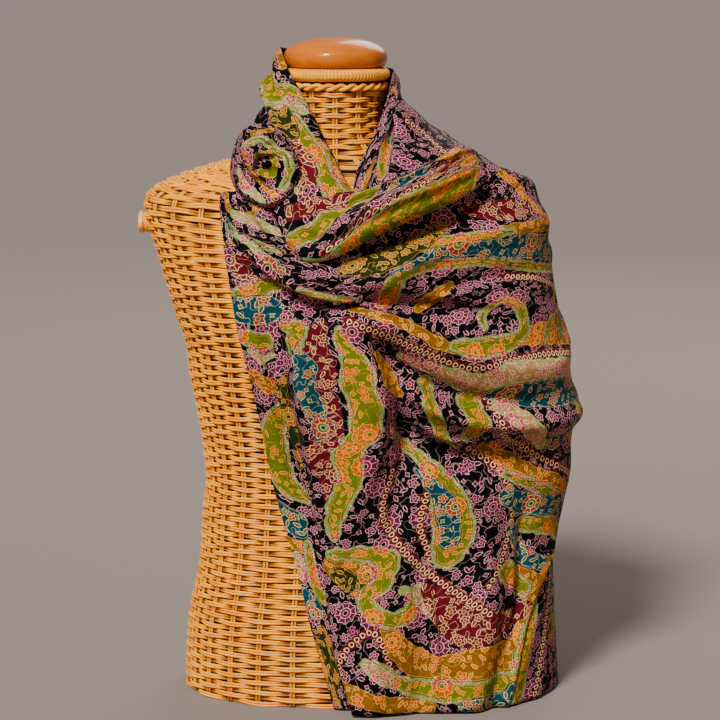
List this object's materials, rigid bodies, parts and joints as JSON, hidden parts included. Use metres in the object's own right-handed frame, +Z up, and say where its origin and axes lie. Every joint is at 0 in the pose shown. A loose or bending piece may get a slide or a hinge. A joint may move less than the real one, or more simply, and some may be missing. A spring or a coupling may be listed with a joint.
{
  "type": "pashmina shawl on wicker dress form",
  "caption": "Fine paisley wool shawl gathered in a swirl at the chest and draped over one shoulder of a limbless woven cane dress form with a turned wooden cap.",
  "frame": {"origin": "the floor under the middle of the whole thing's bounding box", "axes": "+Z up, -Y out of the chest, +X towards the shoulder that the shawl covers"},
  "size_m": [0.4473, 0.2706, 0.6604],
  "materials": {
    "cloth": "fine twill wool with an all-over paisley, soft low sheen",
    "wicker": "peeled cane, varnished, satin",
    "turned_wood": "gloss varnish"
  },
  "bodies": {
    "root": {"shawl_back_fall": "cloth", "shawl_under_layer": "cloth", "shawl_left_tail": "cloth", "shawl_shoulder_wrap": "cloth", "shawl_front_fall": "cloth", "shawl_collar_back": "cloth", "shawl_neck_right": "cloth", "shawl_left_drape": "cloth", "shawl_twist": "cloth", "shawl_neck_left": "cloth", "shawl_cowl_roll": "cloth", "shawl_rosette": "cloth", "form_basket": "wicker", "neck_rim": "wicker", "neck_cap": "turned_wood", "arm_plate_left": "turned_wood", "arm_plate_right": "turned_wood"}
  },
  "joints": []
}
